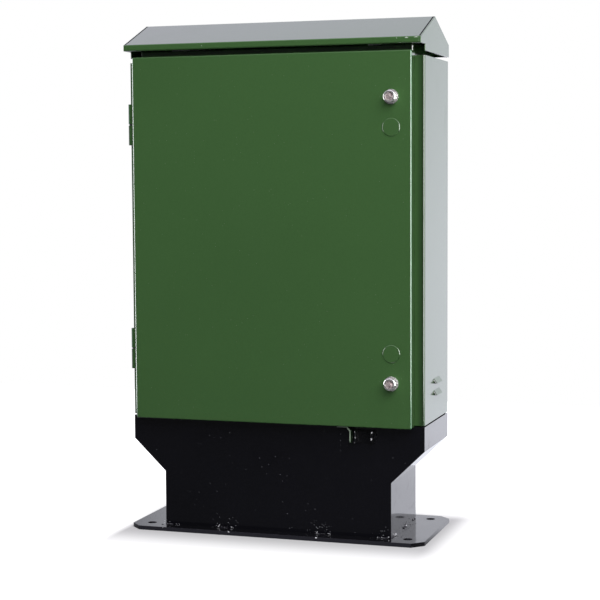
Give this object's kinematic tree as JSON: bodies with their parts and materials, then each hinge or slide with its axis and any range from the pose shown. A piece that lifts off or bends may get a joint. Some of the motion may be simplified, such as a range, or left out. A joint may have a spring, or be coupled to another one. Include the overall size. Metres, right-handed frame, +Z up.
{
  "type": "cable distribution cabinet",
  "caption": "Slim free-standing outdoor cable distribution cabinet with one hinged door, gabled rain roof, quarter-turn locks and a tapered steel root on a base plate.",
  "frame": {"origin": "centre of the base plate's underside, which is the centre of the anchor hole pattern", "axes": "+Z up, -Y out of the door (front), +X to the right seen from the front, towards the lock side"},
  "size_m": [0.614, 0.272, 1.009],
  "materials": {
    "green_paint": "gloss",
    "black_paint": "semi-gloss",
    "zinc_plated": "zinc plated",
    "chrome": "polished",
    "copper": "bare copper",
    "brass_screws": "plain",
    "black_rubber": "matt",
    "grey_plastic": "matt",
    "green_plastic": "gloss"
  },
  "bodies": {
    "cabinet": {"body_wrap": "green_paint", "body_top": "green_paint", "body_floor": "green_paint", "neck_collar": "green_paint", "roof_canopy": "green_paint", "gable_left": "green_paint", "gable_right": "green_paint", "body_hinge_leaves": "green_paint", "root_front": "black_paint", "root_rear": "black_paint", "root_side_left": "black_paint", "root_side_right": "black_paint", "root_frame": "black_paint", "base_plate": "black_paint", "padlock_bracket": "black_paint", "root_seal": "black_rubber", "root_bolts": "zinc_plated", "root_nuts": "zinc_plated", "gland_plate": "zinc_plated", "gland_plate_screws": "zinc_plated", "cable_grommets": "black_rubber", "roof_brackets": "zinc_plated", "roof_screws": "zinc_plated", "gear_plate": "zinc_plated", "gear_posts": "zinc_plated", "gear_screws": "zinc_plated", "mounting_rails": "zinc_plated", "rail_screws": "zinc_plated", "module_row_lower": "grey_plastic", "module_row_middle": "grey_plastic", "module_row_upper": "grey_plastic", "cable_clamp_rail": "zinc_plated", "cable_clamps": "zinc_plated", "clamp_screws": "zinc_plated", "earth_bar": "copper", "earth_bar_posts": "zinc_plated", "earth_bar_screws": "brass_screws", "cabinet_earth_stud": "brass_screws", "hinge_pins": "zinc_plated", "hinge_washers": "brass_screws"},
    "door": {"door_pan": "green_paint", "door_stiffener": "green_paint", "door_gasket": "black_rubber", "door_hinge_leaves": "green_paint", "lock_housings": "chrome", "lock_nuts": "zinc_plated", "blanking_discs": "green_plastic", "padlock_tongue": "green_paint", "door_earth_stud": "brass_screws"},
    "upper_lock": {"upper_lock_driver": "chrome", "upper_lock_cam": "zinc_plated", "upper_cam_screw": "zinc_plated"},
    "lower_lock": {"lower_lock_driver": "chrome", "lower_lock_cam": "zinc_plated", "lower_cam_screw": "zinc_plated"}
  },
  "joints": [
    {"name": "door_hinge", "type": "hinge", "parent": "cabinet", "child": "door", "pos_m": [-0.296, -0.1055, 0.5855], "axis": [0, 0, -1], "range_deg": [0, 120]},
    {"name": "upper_lock_turn", "type": "hinge", "parent": "door", "child": "upper_lock", "pos_m": [0.242, -0.1055, 0.8525], "axis": [0, -1, 0], "range_deg": [0, 90]},
    {"name": "lower_lock_turn", "type": "hinge", "parent": "door", "child": "lower_lock", "pos_m": [0.242, -0.1055, 0.3125], "axis": [0, -1, 0], "range_deg": [0, 90]}
  ]
}
